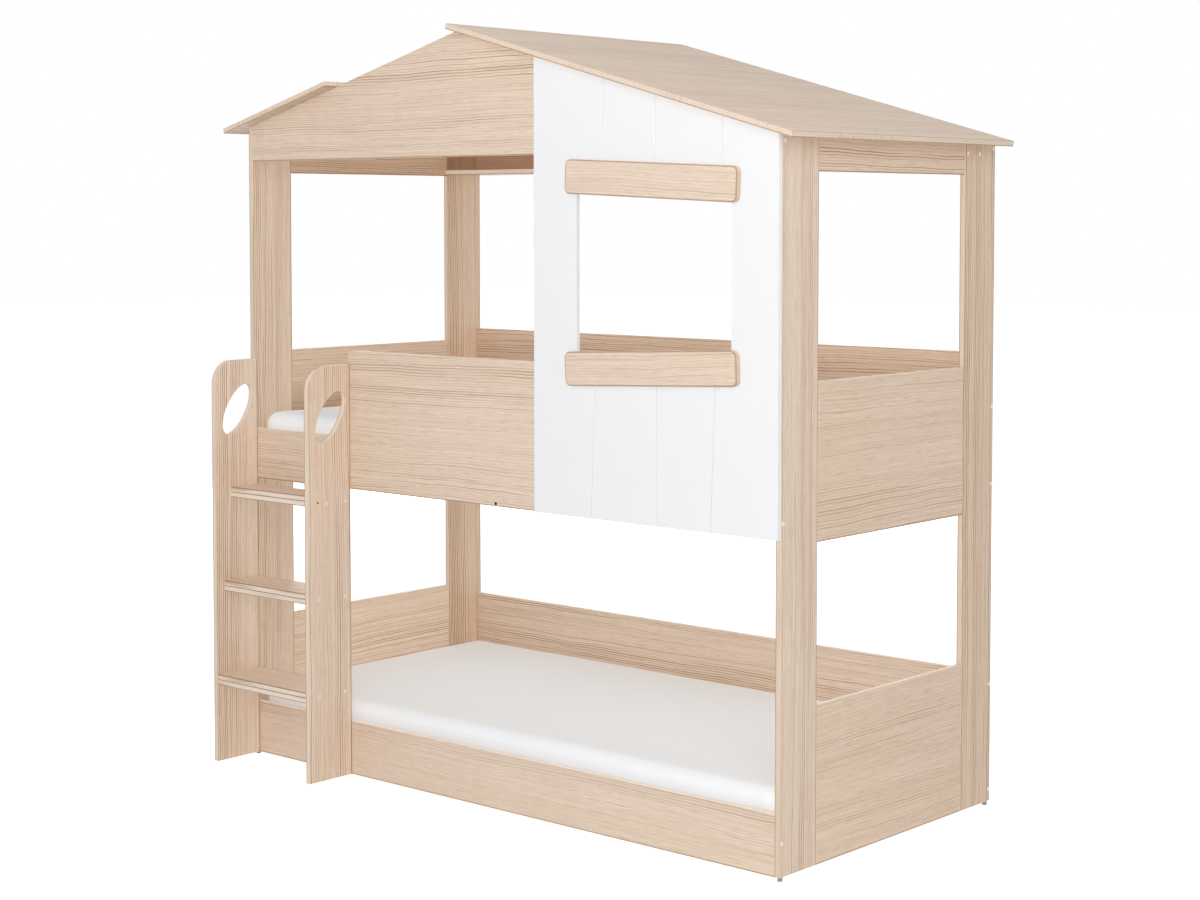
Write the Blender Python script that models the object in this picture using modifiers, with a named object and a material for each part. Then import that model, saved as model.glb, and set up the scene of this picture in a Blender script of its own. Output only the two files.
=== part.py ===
"""House bunk bed: two single beds in a frame of flat boards, with a white house front, a pitched roof and a step ladder.

Metres, +Z up. Left and right are as seen from the front, which faces -Y. Sizes are written in the bed's own frame:
X from the outer face of the left end, Y from the front face of the posts, Z from the floor. An empty carries every
piece, and moves the whole bed so that the world origin is at the middle of its footprint.
"""

import math

import bmesh
import bpy
from mathutils import Euler, Vector

# Fits and edges
FIT_GAP = 0.0003
BOARD_EDGE_RADIUS = 0.0010
TRIM_EDGE_RADIUS = 0.0020
SLAT_EDGE_RADIUS = 0.0030
EDGE_SEGMENTS = 2
CUT_OVERRUN = 0.010

# Boards
BOARD_THICKNESS = 0.015
FACADE_THICKNESS = 0.012
TRIM_THICKNESS = 0.015
ROOF_THICKNESS = 0.015
SLAT_THICKNESS = 0.015

# Mattresses, a standard child's size
MATTRESS_LENGTH = 1.900
MATTRESS_WIDTH = 0.900
MATTRESS_THICKNESS = 0.140
MATTRESS_CROWN = 0.010
MATTRESS_DRAW_IN = 0.005
MATTRESS_CLEARANCE = 0.010

# End frames
POST_WIDTH = 0.148
GLIDE_HEIGHT = 0.010
GLIDE_RADIUS = 0.0065
GLIDE_TOP_RADIUS = 0.0050
GLIDE_INSET = 0.012
LOWER_END_PANEL_HEIGHT = 0.396
LEFT_TOP_RAIL_HEIGHT = 0.132
RIGHT_TOP_RAIL_HEIGHT = 0.0912

# Levels: the upper bed, how far its guards hang below it, and the clear opening over the front guard
UPPER_BED_BASE = 0.840
END_GUARD_DROP = 0.033
FRONT_GUARD_DROP = 0.013
GUARD_HEIGHT = 0.392
UPPER_OPENING_HEIGHT = 0.539

# Front and back boards
LOWER_FRONT_RAIL_HEIGHT = 0.153
ENTRY_SILL_HEIGHT = 0.148
ENTRY_CORNER_RADIUS = 0.015
GABLE_END_HEIGHT = 0.0407
LOWER_BACK_RAIL_HEIGHT = 0.354
BACK_GABLE_DROP = 0.0295
BACK_SHELF_DEPTH = 0.140

# Roof: both slopes share one pitch, and the ridge is nearer the left end
ROOF_PITCH = math.radians(15.3)
RIDGE_FROM_LEFT = 0.867
RIDGE_OVERRUN = 0.008
ROOF_FRONT_OVERHANG = 0.040
LEFT_EAVE_OVERHANG = 0.065
RIGHT_EAVE_OVERHANG = 0.055
LEFT_ROOF_RUN = 0.447

# House front and its window, measured from the right end
FACADE_WIDTH = 0.793
WINDOW_FROM_RIGHT = 0.142
WINDOW_WIDTH = 0.501
WINDOW_ABOVE_GUARD = 0.002
WINDOW_BELOW_GABLE = 0.070
TRIM_HEIGHT = 0.088
TRIM_OVERLAP = 0.0275
TRIM_CORNER_RADIUS = 0.016
TRIM_TILT = math.radians(2.6)
GROOVE_DEPTH = 0.0020
GROOVE_FOOT_SHARES = (0.250, 0.527, 0.742)
GROOVE_HEAD_SHARES = (0.306, 0.516, 0.794)

# Ladder
STILE_DEPTH = 0.158
STILE_BELOW_GUARD = 0.039
STILE_SHOULDER_RADIUS = 0.068
LADDER_CLEAR_WIDTH = 0.388
HAND_HOLE_LENGTH = 0.164
HAND_HOLE_WIDTH = 0.078
HAND_HOLE_TILT = math.radians(33.0)
HAND_HOLE_BELOW_TOP = 0.144
HAND_HOLE_SETBACK = 0.004
TREADS = ("lower_tread", "middle_tread", "upper_tread")
FIRST_TREAD_HEIGHT = 0.266
TOP_TREAD_BELOW_SILL = 0.165
TREAD_FRONT_MARGIN = 0.002
TREAD_STEP_BACK = 0.0270

# Slat beds
SLAT_COUNT = 10
SLAT_WIDTH = 0.120
SLAT_END_CLEARANCE = 0.003
SLAT_RAIL_WIDTH = 0.030
SLAT_RAIL_HEIGHT = 0.025
LOWER_BED_BASE = 0.035

# Finishes: colour, roughness, metallic
OAK = ((0.716, 0.552, 0.402, 1.0), 0.55, 0.0)
WHITE_LACQUER = ((0.860, 0.862, 0.880, 1.0), 0.42, 0.0)
RAW_PINE = ((0.720, 0.560, 0.370, 1.0), 0.65, 0.0)
SHEETING = ((0.830, 0.835, 0.850, 1.0), 0.90, 0.0)
GREY_PLASTIC = ((0.420, 0.400, 0.380, 1.0), 0.50, 0.0)

# Worked out from the sizes above
INSIDE_LENGTH = MATTRESS_LENGTH + 2 * MATTRESS_CLEARANCE
INSIDE_WIDTH = MATTRESS_WIDTH + 2 * MATTRESS_CLEARANCE
BED_LENGTH = INSIDE_LENGTH + 2 * BOARD_THICKNESS
BED_WIDTH = INSIDE_WIDTH + 2 * BOARD_THICKNESS
INNER_LEFT = BOARD_THICKNESS
INNER_RIGHT = BED_LENGTH - BOARD_THICKNESS
FRAME_BASE = GLIDE_HEIGHT + FIT_GAP
END_GUARD_BASE = UPPER_BED_BASE - END_GUARD_DROP
FRONT_GUARD_BASE = UPPER_BED_BASE - FRONT_GUARD_DROP
FRONT_GUARD_TOP = FRONT_GUARD_BASE + GUARD_HEIGHT
ENTRY_SILL = FRONT_GUARD_BASE + ENTRY_SILL_HEIGHT
FRONT_GABLE_BASE = FRONT_GUARD_TOP + UPPER_OPENING_HEIGHT
BACK_GABLE_BASE = FRONT_GABLE_BASE - BACK_GABLE_DROP
LONGER_SLOPE_RUN = max(RIDGE_FROM_LEFT, BED_LENGTH - RIDGE_FROM_LEFT)
RIDGE_HEIGHT = FRONT_GABLE_BASE + GABLE_END_HEIGHT + LONGER_SLOPE_RUN * math.tan(ROOF_PITCH)
FACADE_FRONT = -FIT_GAP - FACADE_THICKNESS
STILE_TOP = FRONT_GUARD_TOP - STILE_BELOW_GUARD
LEFT_STILE_INNER = INNER_LEFT + BOARD_THICKNESS
RIGHT_STILE_INNER = LEFT_STILE_INNER + LADDER_CLEAR_WIDTH
MERGE_DISTANCE = 0.00001
ARC_STEPS = 8
ELLIPSE_STEPS = 40
GLIDE_STEPS = 24


# Scene, empty and finishes


def clear_scene():
    for obj in list(bpy.data.objects):
        bpy.data.objects.remove(obj, do_unlink=True)


def new_collection(name, hidden=False):
    collection = bpy.data.collections.new(name)
    collection.hide_render = hidden
    bpy.context.scene.collection.children.link(collection)
    return collection


def footprint_middle():
    """The middle of the bed's outermost edges: eave to eave, and stile front to back face."""
    eave_corner = ROOF_THICKNESS * math.sin(ROOF_PITCH)
    left = -LEFT_EAVE_OVERHANG - eave_corner
    right = BED_LENGTH + RIGHT_EAVE_OVERHANG + eave_corner
    front = -STILE_DEPTH - FIT_GAP
    return (left + right) / 2, (front + BED_WIDTH) / 2


def bed_frame():
    """The empty that carries every piece."""
    middle_x, middle_y = footprint_middle()
    empty = bpy.data.objects.new("bed_frame", None)
    empty.location = (-middle_x, -middle_y, 0.0)
    PARTS.objects.link(empty)
    return empty


def dress(obj, finish):
    """Gives a piece its own material."""
    colour, roughness, metallic = finish
    material = bpy.data.materials.new(obj.name + "_finish")
    material.use_nodes = True
    shader = material.node_tree.nodes["Principled BSDF"]
    shader.inputs["Base Color"].default_value = colour
    shader.inputs["Roughness"].default_value = roughness
    shader.inputs["Metallic"].default_value = metallic
    material.diffuse_color = colour
    obj.data.materials.clear()
    obj.data.materials.append(material)


def adopt(obj, name, finish, collection=None):
    """Names a new piece, puts it in its collection and hangs it on the bed."""
    obj.name = name
    obj.data.name = name
    for old in list(obj.users_collection):
        old.objects.unlink(obj)
    (collection or PARTS).objects.link(obj)
    obj.parent = BED
    if finish:
        dress(obj, finish)
    return obj


def break_edges(obj, radius):
    bevel = obj.modifiers.new("broken_edges", "BEVEL")
    bevel.width = radius
    bevel.segments = EDGE_SEGMENTS
    bevel.limit_method = "ANGLE"
    bevel.angle_limit = math.radians(30)
    return bevel


def cut_with_all(obj, cutters):
    """Cuts every cutter of a collection out of a piece at once."""
    boolean = obj.modifiers.new("cut_" + cutters.name.lower(), "BOOLEAN")
    boolean.operation = "DIFFERENCE"
    boolean.solver = "EXACT"
    boolean.operand_type = "COLLECTION"
    boolean.collection = cutters
    return boolean


# Shapes


def box(name, low, high, finish, turn=(0.0, 0.0, 0.0), radius=BOARD_EDGE_RADIUS):
    """A board between two corners, turned about its middle, its edges broken."""
    low, high = Vector(low), Vector(high)
    bpy.ops.mesh.primitive_cube_add(size=1.0, location=(low + high) / 2, rotation=turn)
    obj = bpy.context.object
    obj.scale = high - low
    bpy.ops.object.transform_apply(location=False, rotation=False, scale=True)
    adopt(obj, name, finish)
    break_edges(obj, radius)
    return obj


def arc(centre, radius, start, end):
    """Points on an arc, from one angle in degrees to another."""
    points = []
    for step in range(ARC_STEPS + 1):
        angle = math.radians(start + (end - start) * step / ARC_STEPS)
        points.append((centre[0] + radius * math.cos(angle), centre[1] + radius * math.sin(angle)))
    return points


def ellipse(centre, length, width, tilt):
    """Points on an ellipse whose long axis leans away from upright by the tilt."""
    points = []
    for step in range(ELLIPSE_STEPS):
        angle = math.tau * step / ELLIPSE_STEPS
        along, across = length / 2 * math.cos(angle), width / 2 * math.sin(angle)
        x = along * math.sin(tilt) - across * math.cos(tilt)
        y = along * math.cos(tilt) + across * math.sin(tilt)
        points.append((centre[0] + x, centre[1] + y))
    return points


def cut_out(name, loops, thickness, location, turn, finish, radius=BOARD_EDGE_RADIUS):
    """A board sawn to an outline: the first loop is its edge, and the others are holes through it."""
    curve = bpy.data.curves.new(name, "CURVE")
    curve.dimensions = "2D"
    curve.fill_mode = "BOTH"
    curve.extrude = thickness / 2
    for loop in loops:
        spline = curve.splines.new("POLY")
        spline.points.add(len(loop) - 1)
        for point, (x, y) in zip(spline.points, loop):
            point.co = (x, y, 0.0, 1.0)
        spline.use_cyclic_u = True
    guide = bpy.data.objects.new(name + "_outline", curve)
    bpy.context.scene.collection.objects.link(guide)
    graph = bpy.context.evaluated_depsgraph_get()
    mesh = bpy.data.meshes.new_from_object(guide.evaluated_get(graph))
    bpy.data.objects.remove(guide, do_unlink=True)
    weld_faces(mesh)
    obj = bpy.data.objects.new(name, mesh)
    bpy.context.scene.collection.objects.link(obj)
    obj.location = location
    obj.rotation_euler = turn
    adopt(obj, name, finish)
    break_edges(obj, radius)
    return obj


def weld_faces(mesh):
    """Closes a filled curve's loose caps, and merges each flat face into one."""
    work = bmesh.new()
    work.from_mesh(mesh)
    bmesh.ops.remove_doubles(work, verts=work.verts, dist=MERGE_DISTANCE)
    bmesh.ops.dissolve_limit(work, angle_limit=math.radians(0.5), verts=work.verts, edges=work.edges)
    bmesh.ops.recalc_face_normals(work, faces=work.faces)
    work.to_mesh(mesh)
    work.free()


# An outline drawn in X and Z stands up across the bed, and one in Y and Z stands up along it
ACROSS = (math.radians(90), 0.0, 0.0)
ALONG = (math.radians(90), 0.0, math.radians(90))


def upright_across(name, outline, front, back, finish=OAK):
    """A board whose outline is drawn in X and Z, between two depths."""
    return cut_out(name, [outline], back - front, (0.0, (front + back) / 2, 0.0), ACROSS, finish)


# The roof's underside, which posts, rails, gables and facade are all cut to


def under_roof(x):
    return RIDGE_HEIGHT - abs(x - RIDGE_FROM_LEFT) * math.tan(ROOF_PITCH)


def roof_cut(x):
    """Where a board that stands under the roof ends."""
    return under_roof(x) - FIT_GAP


def sloped_top(left, right, base):
    """The outline of a board under the roof, with a point at the ridge where it passes it."""
    outline = [(left, base), (right, base), (right, roof_cut(right))]
    if left < RIDGE_FROM_LEFT < right:
        outline.append((RIDGE_FROM_LEFT, roof_cut(RIDGE_FROM_LEFT)))
    outline.append((left, roof_cut(left)))
    return outline


# Pieces


def build_end(side, left, right, outer_face, top_rail_height):
    """One end: two posts up to the roof, with a panel, a guard and a top rail between them."""
    back_post_front = BED_WIDTH - POST_WIDTH
    outline = sloped_top(left, right, FRAME_BASE)
    upright_across(side + "_front_post", outline, 0.0, POST_WIDTH)
    upright_across(side + "_back_post", outline, back_post_front, BED_WIDTH)
    front, back = POST_WIDTH + FIT_GAP, back_post_front - FIT_GAP
    heights = {
        "_lower_panel": (FRAME_BASE, FRAME_BASE + LOWER_END_PANEL_HEIGHT),
        "_upper_guard": (END_GUARD_BASE, END_GUARD_BASE + GUARD_HEIGHT),
    }
    for name, (base, top) in heights.items():
        box(side + name, (left, front, base), (right, back, top), OAK)
    rail_base = roof_cut(outer_face) - top_rail_height
    upright_across(side + "_top_rail", sloped_top(left, right, rail_base), front, back)


def build_front():
    left, right = INNER_LEFT + FIT_GAP, INNER_RIGHT - FIT_GAP
    rail_top = FRAME_BASE + LOWER_FRONT_RAIL_HEIGHT
    box("lower_front_rail", (left, 0.0, FRAME_BASE), (right, BOARD_THICKNESS, rail_top), OAK)
    upright_across("front_guard", guard_outline(left, right), 0.0, BOARD_THICKNESS)
    upright_across("front_gable", sloped_top(left, right, FRONT_GABLE_BASE), 0.0, BOARD_THICKNESS)


def guard_outline(left, right):
    """The front guard steps down to a low sill where the ladder arrives, its jamb behind the right stile."""
    jamb = RIGHT_STILE_INNER + BOARD_THICKNESS / 2
    corner = (jamb + ENTRY_CORNER_RADIUS, FRONT_GUARD_TOP - ENTRY_CORNER_RADIUS)
    return [
        (left, FRONT_GUARD_BASE),
        (right, FRONT_GUARD_BASE),
        (right, FRONT_GUARD_TOP),
        *arc(corner, ENTRY_CORNER_RADIUS, 90, 180),
        (jamb, ENTRY_SILL),
        (left, ENTRY_SILL),
    ]


def build_back():
    left, right = INNER_LEFT + FIT_GAP, INNER_RIGHT - FIT_GAP
    front, back = BED_WIDTH - BOARD_THICKNESS, BED_WIDTH
    rail_top = FRAME_BASE + LOWER_BACK_RAIL_HEIGHT
    box("lower_back_rail", (left, front, FRAME_BASE), (right, back, rail_top), OAK)
    guard_top = UPPER_BED_BASE + GUARD_HEIGHT
    box("back_guard", (left, front, UPPER_BED_BASE), (right, back, guard_top), OAK)
    upright_across("back_gable", sloped_top(left, right, BACK_GABLE_BASE), front, back)
    shelf_back = front - FIT_GAP
    shelf_low = (left, shelf_back - BACK_SHELF_DEPTH, BACK_GABLE_BASE)
    box("back_shelf", shelf_low, (right, shelf_back, BACK_GABLE_BASE + BOARD_THICKNESS), OAK)


def build_facade():
    left, right = BED_LENGTH - FACADE_WIDTH, BED_LENGTH
    front, back = FACADE_FRONT, -FIT_GAP
    window_right = BED_LENGTH - WINDOW_FROM_RIGHT
    window_left = window_right - WINDOW_WIDTH
    window_base = FRONT_GUARD_TOP + WINDOW_ABOVE_GUARD
    window_top = FRONT_GABLE_BASE - WINDOW_BELOW_GABLE
    window = [
        (window_left, window_base),
        (window_right, window_base),
        (window_right, window_top),
        (window_left, window_top),
    ]
    outline = sloped_top(left, right, FRONT_GUARD_BASE)
    middle = (0.0, (front + back) / 2, 0.0)
    panel = cut_out("facade_panel", [outline, window], FACADE_THICKNESS, middle, ACROSS, WHITE_LACQUER)
    for number, shares in enumerate(zip(GROOVE_FOOT_SHARES, GROOVE_HEAD_SHARES), 1):
        groove_cutter(f"groove_{number}", left, *shares)
    cut_with_all(panel, CUTTERS)
    build_trim("window_lintel_trim", window_left, window_right, window_top, TRIM_TILT)
    build_trim("window_sill_trim", window_left, window_right, window_base, -TRIM_TILT)


def groove_cutter(name, facade_left, foot_share, head_share):
    """A square bar on edge, sunk so that it mills a V of the groove's depth into the house front."""
    foot = Vector((facade_left + foot_share * FACADE_WIDTH, 0.0, FRONT_GUARD_BASE))
    head = Vector((facade_left + head_share * FACADE_WIDTH, 0.0, roof_cut(facade_left)))
    run = head - foot
    side = GROOVE_DEPTH * math.sqrt(2)
    lean = math.atan2(run.x, run.z)
    turn = Euler((0.0, lean, 0.0)).to_matrix() @ Euler((0.0, 0.0, math.radians(45))).to_matrix()
    middle = (foot + head) / 2 + Vector((0.0, FACADE_FRONT, 0.0))
    bpy.ops.mesh.primitive_cube_add(size=1.0, location=middle, rotation=turn.to_euler())
    bar = bpy.context.object
    bar.scale = (side, side, run.length + 2 * CUT_OVERRUN)
    bpy.ops.object.transform_apply(location=False, rotation=False, scale=True)
    adopt(bar, name, None, CUTTERS)
    bar.hide_render = True
    bar.display_type = "WIRE"
    return bar


def build_trim(name, window_left, window_right, height, tilt):
    """A round-cornered strip, centred on the window's edge and fixed a little askew."""
    width = window_right - window_left + 2 * TRIM_OVERLAP
    back = FACADE_FRONT - FIT_GAP
    middle = ((window_left + window_right) / 2, back - TRIM_THICKNESS / 2, height)
    x, y, radius = width / 2 - TRIM_CORNER_RADIUS, TRIM_HEIGHT / 2 - TRIM_CORNER_RADIUS, TRIM_CORNER_RADIUS
    outline = [
        *arc((x, y), radius, 0, 90),
        *arc((-x, y), radius, 90, 180),
        *arc((-x, -y), radius, 180, 270),
        *arc((x, -y), radius, 270, 360),
    ]
    turn = (Euler((0.0, tilt, 0.0)).to_matrix() @ Euler(ACROSS).to_matrix()).to_euler()
    cut_out(name, [outline], TRIM_THICKNESS, middle, turn, OAK, TRIM_EDGE_RADIUS)


def build_roof_panel(name, start_x, end_x, pitch):
    """A panel whose underside lies on one slope, between two places along the bed."""
    length = abs(end_x - start_x) / math.cos(pitch)
    middle_x = (start_x + end_x) / 2
    middle_z = RIDGE_HEIGHT - (middle_x - RIDGE_FROM_LEFT) * math.tan(pitch)
    lift = Vector((math.sin(pitch), 0.0, math.cos(pitch))) * ROOF_THICKNESS / 2
    middle_y = (BED_WIDTH - ROOF_FRONT_OVERHANG) / 2
    depth = BED_WIDTH + ROOF_FRONT_OVERHANG
    middle = Vector((middle_x, middle_y, middle_z)) + lift
    half = Vector((length, depth, ROOF_THICKNESS)) / 2
    box(name, middle - half, middle + half, OAK, (0.0, pitch, 0.0))


def build_roof():
    right_start = RIDGE_FROM_LEFT - RIDGE_OVERRUN
    right_end = BED_LENGTH + RIGHT_EAVE_OVERHANG
    build_roof_panel("right_roof_panel", right_start, right_end, ROOF_PITCH)
    left_start = -LEFT_EAVE_OVERHANG
    build_roof_panel("left_roof_panel", left_start, left_start + LEFT_ROOF_RUN, -ROOF_PITCH)


def stile_outline():
    """A ladder side board: a big round shoulder at its front, drawn in Y and Z."""
    front, back = -STILE_DEPTH - FIT_GAP, -FIT_GAP
    shoulder = (front + STILE_SHOULDER_RADIUS, STILE_TOP - STILE_SHOULDER_RADIUS)
    return [
        (back, FRAME_BASE),
        (back, STILE_TOP),
        *arc(shoulder, STILE_SHOULDER_RADIUS, 90, 180),
        (front, FRAME_BASE),
    ]


def build_ladder():
    """Two side boards with a slanted hand hole, and steps spread evenly up to just below the entry's sill."""
    hole_middle = (-STILE_DEPTH / 2 + HAND_HOLE_SETBACK, STILE_TOP - HAND_HOLE_BELOW_TOP)
    hand_hole = ellipse(hole_middle, HAND_HOLE_LENGTH, HAND_HOLE_WIDTH, HAND_HOLE_TILT)
    half = BOARD_THICKNESS / 2
    for side, middle in (("left", LEFT_STILE_INNER - half), ("right", RIGHT_STILE_INNER + half)):
        loops = [stile_outline(), hand_hole]
        cut_out(f"ladder_{side}_stile", loops, BOARD_THICKNESS, (middle, 0.0, 0.0), ALONG, OAK)
    rise = (ENTRY_SILL - TOP_TREAD_BELOW_SILL - FIRST_TREAD_HEIGHT) / (len(TREADS) - 1)
    for step, name in enumerate(TREADS):
        front = -STILE_DEPTH + TREAD_FRONT_MARGIN + step * TREAD_STEP_BACK
        top = FIRST_TREAD_HEIGHT + step * rise
        build_tread(name, LEFT_STILE_INNER + FIT_GAP, RIGHT_STILE_INNER - FIT_GAP, front, top)


def build_tread(name, left, right, front, top):
    """Two boards, one under the other, that make one step."""
    under = top - BOARD_THICKNESS
    box(name, (left, front, under), (right, -FIT_GAP, top), OAK)
    backer_top = under - FIT_GAP
    box(name + "_backer", (left, front, backer_top - BOARD_THICKNESS), (right, -FIT_GAP, backer_top), OAK)


def build_slat_bed(level, rail_base):
    """Two battens on the long boards and ten slats across them. Gives the height of the slats' tops."""
    left, right = INNER_LEFT + FIT_GAP, INNER_RIGHT - FIT_GAP
    rail_top = rail_base + SLAT_RAIL_HEIGHT
    front_face, back_face = BOARD_THICKNESS + FIT_GAP, BED_WIDTH - BOARD_THICKNESS - FIT_GAP
    spans = {
        "_front_slat_rail": (front_face, front_face + SLAT_RAIL_WIDTH),
        "_back_slat_rail": (back_face - SLAT_RAIL_WIDTH, back_face),
    }
    for name, (front, back) in spans.items():
        box(level + name, (left, front, rail_base), (right, back, rail_top), RAW_PINE)
    base, top = rail_top + FIT_GAP, rail_top + FIT_GAP + SLAT_THICKNESS
    front, back = BOARD_THICKNESS + SLAT_END_CLEARANCE, BED_WIDTH - BOARD_THICKNESS - SLAT_END_CLEARANCE
    gap = (INSIDE_LENGTH - SLAT_COUNT * SLAT_WIDTH) / (SLAT_COUNT + 1)
    for number in range(SLAT_COUNT):
        start = INNER_LEFT + gap + number * (SLAT_WIDTH + gap)
        name = f"{level}_slat_{number + 1:02d}"
        box(name, (start, front, base), (start + SLAT_WIDTH, back, top), RAW_PINE, radius=SLAT_EDGE_RADIUS)
    return top


# Mattress cage: cuts near the rims keep the edges soft but not round
LONG_CUT_SHARES = (0.020, 0.075, 0.250, 0.500, 0.750, 0.925, 0.980)
WIDE_CUT_SHARES = (0.040, 0.150, 0.500, 0.850, 0.960)
TALL_CUT_SHARES = (0.180, 0.500, 0.820)


def cage_cuts(work, axis, shares):
    """Cuts a block that runs from -1 to 1 at shares of its length."""
    for share in shares:
        normal = Vector((0.0, 0.0, 0.0))
        normal[axis] = 1.0
        place = normal * (2 * share - 1)
        geometry = work.verts[:] + work.edges[:] + work.faces[:]
        bmesh.ops.bisect_plane(work, geom=geometry, plane_co=place, plane_no=normal)


def build_mattress(level, slat_top):
    """A soft block: its sides draw in between the corners and its top rises to a low crown."""
    work = bmesh.new()
    bmesh.ops.create_cube(work, size=2.0)
    for axis, shares in enumerate((LONG_CUT_SHARES, WIDE_CUT_SHARES, TALL_CUT_SHARES)):
        cage_cuts(work, axis, shares)
    for vert in work.verts:
        along, across, up = vert.co.x, vert.co.y, (vert.co.z + 1) / 2
        x = along * (MATTRESS_LENGTH / 2 - MATTRESS_DRAW_IN * (1 - across**2))
        y = across * (MATTRESS_WIDTH / 2 - MATTRESS_DRAW_IN * (1 - along**2))
        z = up * (MATTRESS_THICKNESS + MATTRESS_CROWN * (1 - along**2) * (1 - across**2))
        vert.co = (x, y, z)
    mesh = bpy.data.meshes.new(level + "_mattress")
    work.to_mesh(mesh)
    work.free()
    obj = bpy.data.objects.new(level + "_mattress", mesh)
    bpy.context.scene.collection.objects.link(obj)
    obj.location = (BED_LENGTH / 2, BED_WIDTH / 2, slat_top + FIT_GAP)
    adopt(obj, level + "_mattress", SHEETING)
    soften = obj.modifiers.new("soft_form", "SUBSURF")
    soften.levels = 1
    soften.render_levels = 1
    mesh.shade_smooth()
    return obj


def build_glides():
    """A small turned foot under each post, on the board's middle line."""
    profile = [
        (0.0, GLIDE_HEIGHT),
        (GLIDE_TOP_RADIUS, GLIDE_HEIGHT),
        (GLIDE_RADIUS, GLIDE_HEIGHT / 2),
        (GLIDE_RADIUS, 0.0),
        (0.0, 0.0),
    ]
    mesh = bpy.data.meshes.new("glide")
    points = [(x, 0.0, z) for x, z in profile]
    edges = [(index, index + 1) for index in range(len(profile) - 1)]
    mesh.from_pydata(points, edges, [])
    half = BOARD_THICKNESS / 2
    for side, x in (("left", half), ("right", BED_LENGTH - half)):
        for end, y in (("front", GLIDE_INSET), ("back", BED_WIDTH - GLIDE_INSET)):
            name = f"{side}_{end}_glide"
            obj = bpy.data.objects.new(name, mesh.copy())
            bpy.context.scene.collection.objects.link(obj)
            obj.location = (x, y, 0.0)
            adopt(obj, name, GREY_PLASTIC)
            turned = obj.modifiers.new("turned", "SCREW")
            turned.steps = GLIDE_STEPS
            turned.render_steps = GLIDE_STEPS
            turned.use_merge_vertices = True
            turned.merge_threshold = MERGE_DISTANCE


clear_scene()
PARTS = new_collection("House bunk bed")
CUTTERS = new_collection("Cutters", hidden=True)
BED = bed_frame()

build_end("left", 0.0, INNER_LEFT, 0.0, LEFT_TOP_RAIL_HEIGHT)
build_end("right", INNER_RIGHT, BED_LENGTH, BED_LENGTH, RIGHT_TOP_RAIL_HEIGHT)
build_front()
build_back()
build_facade()
build_roof()
build_ladder()
for bed_level, slat_rail_base in (("upper", UPPER_BED_BASE), ("lower", LOWER_BED_BASE)):
    build_mattress(bed_level, build_slat_bed(bed_level, slat_rail_base))
build_glides()
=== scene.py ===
"""The looks of the house bunk bed: oak-look boards, a white lacquered house front, cotton
mattresses, and the studio.

Metres. +X runs from the ladder end to the window end, +Y from the ladder side to the wall side,
+Z up.
"""

import math

import bpy
from mathutils import Matrix, Vector


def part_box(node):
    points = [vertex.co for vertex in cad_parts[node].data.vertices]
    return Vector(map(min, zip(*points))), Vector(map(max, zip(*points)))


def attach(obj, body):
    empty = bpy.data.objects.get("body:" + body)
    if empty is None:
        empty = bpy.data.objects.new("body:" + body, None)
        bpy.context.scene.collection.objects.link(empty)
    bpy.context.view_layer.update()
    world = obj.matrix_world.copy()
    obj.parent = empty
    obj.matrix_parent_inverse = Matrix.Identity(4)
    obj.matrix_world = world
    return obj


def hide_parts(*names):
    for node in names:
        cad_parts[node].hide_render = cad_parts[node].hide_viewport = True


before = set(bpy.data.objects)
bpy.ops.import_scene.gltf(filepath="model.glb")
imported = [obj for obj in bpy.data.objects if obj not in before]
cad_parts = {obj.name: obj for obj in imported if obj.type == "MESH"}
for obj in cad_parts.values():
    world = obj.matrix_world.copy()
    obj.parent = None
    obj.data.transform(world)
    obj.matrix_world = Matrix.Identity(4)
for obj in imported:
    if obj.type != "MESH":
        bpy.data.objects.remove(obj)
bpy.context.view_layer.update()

# Camera, matched to the photograph
CAMERA_PLACE = (4.1390, -4.62685, 1.6059)
CAMERA_PITCH = math.radians(90 - 3.001)
CAMERA_YAW = math.radians(41.276)
CAMERA_LENS = 66.705
CAMERA_SENSOR = 36.0
CAMERA_SHIFT = (-0.0048, -0.1000)
CAMERA_REACH = 200.0

# Boards and the way their grain runs
GRAIN_ALONG_X = (
    "lower_front_rail",
    "front_guard",
    "front_gable",
    "lower_back_rail",
    "back_guard",
    "back_gable",
    "back_shelf",
    "lower_tread",
    "lower_tread_backer",
    "middle_tread",
    "middle_tread_backer",
    "upper_tread",
    "upper_tread_backer",
    "window_lintel_trim",
    "window_sill_trim",
)
GRAIN_ALONG_Y = (
    "left_lower_panel",
    "left_upper_guard",
    "left_top_rail",
    "right_lower_panel",
    "right_upper_guard",
    "right_top_rail",
    "left_roof_panel",
    "right_roof_panel",
)
GRAIN_ALONG_Z = (
    "left_front_post",
    "left_back_post",
    "right_front_post",
    "right_back_post",
    "ladder_left_stile",
    "ladder_right_stile",
)
# The two strips on the house front are fixed askew, and their corners are rounder
TRIM_TILTS = {
    "window_lintel_trim": math.radians(-2.6),
    "window_sill_trim": math.radians(2.6),
}
TRIM_CORNER = 0.016
BOARD_CORNER = 0.004

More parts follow.
